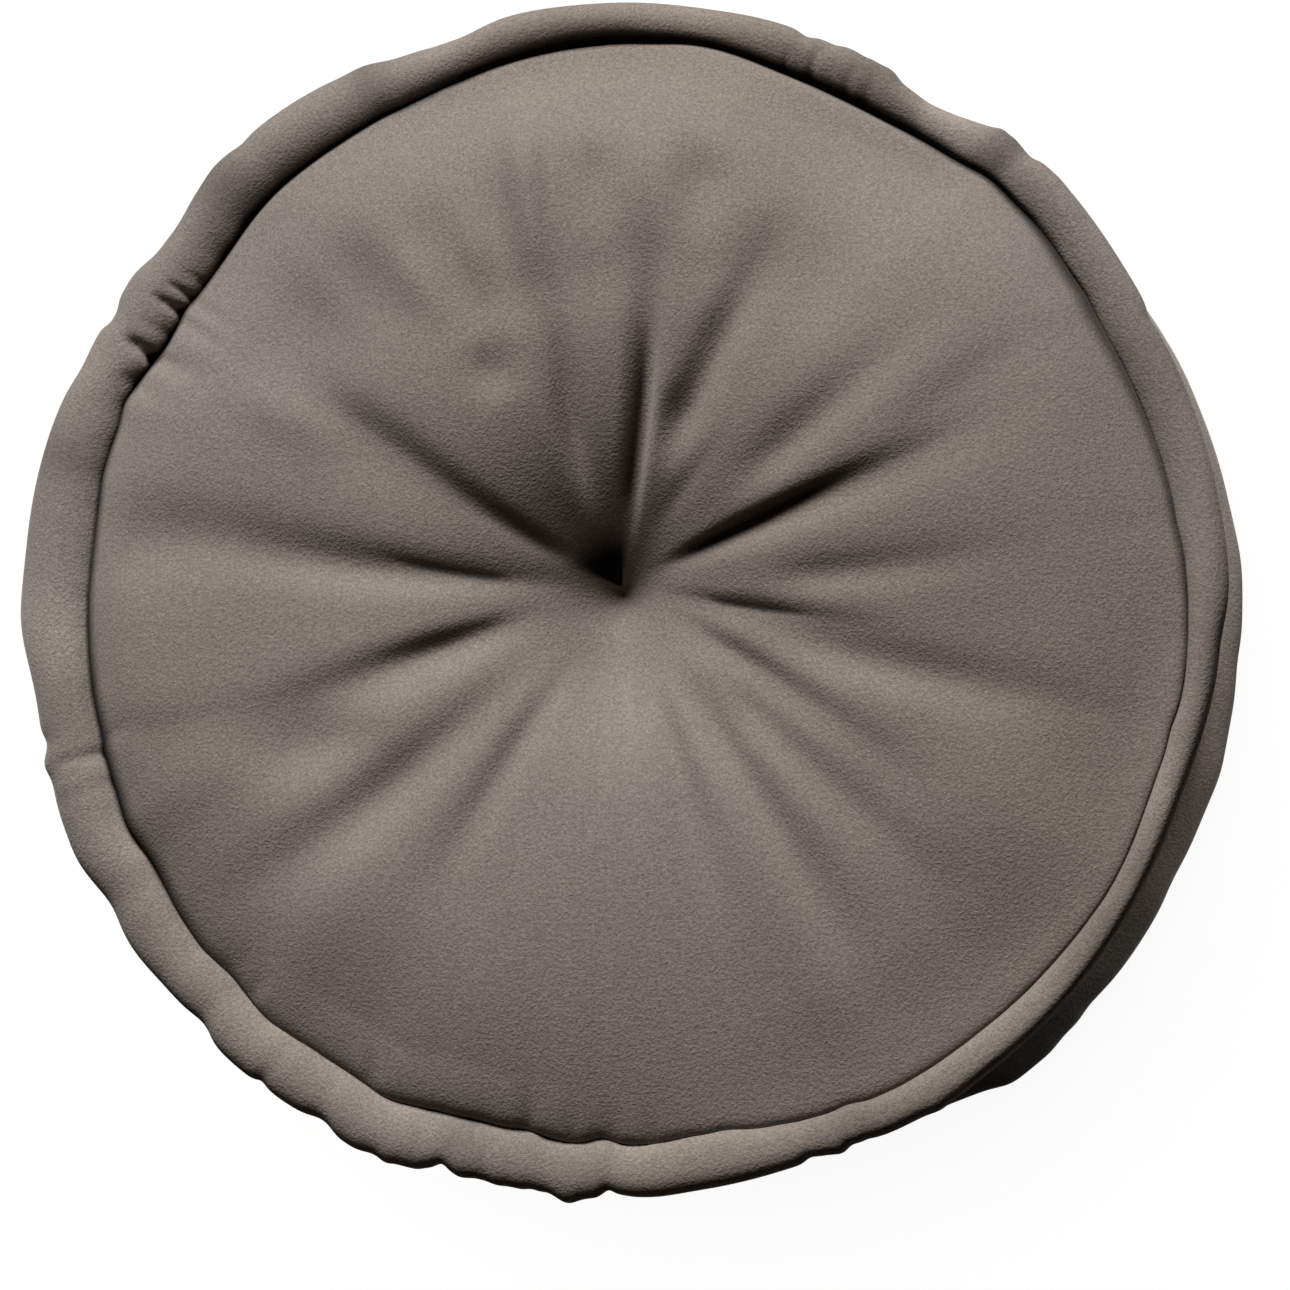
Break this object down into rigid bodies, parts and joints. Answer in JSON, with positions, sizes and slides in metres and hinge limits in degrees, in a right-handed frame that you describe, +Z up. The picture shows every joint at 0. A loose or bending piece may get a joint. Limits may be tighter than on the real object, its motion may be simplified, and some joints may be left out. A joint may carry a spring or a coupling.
{
  "type": "round floor cushion pouf",
  "caption": "Round, low, filled floor cushion with a tufted top, a deep centre pull with radiating folds, an upright side band and a thick rolled edge above and below.",
  "frame": {"origin": "on the floor, under the middle of the pouf's outline", "axes": "+Z up out of the tufted top, +X and +Y across it; +Y is the side that is uppermost in the picture"},
  "size_m": [0.4138, 0.4016, 0.164],
  "materials": {
    "cover_cloth": "taupe-grey velour with a very short brushed nap, matt with a faint sheen at grazing angles",
    "roll_cloth": "the same taupe-grey velour, drawn round wadding and slightly puckered along its seam"
  },
  "bodies": {
    "root": {"body": "cover_cloth", "top_roll": "roll_cloth", "bottom_roll": "roll_cloth"}
  },
  "joints": []
}
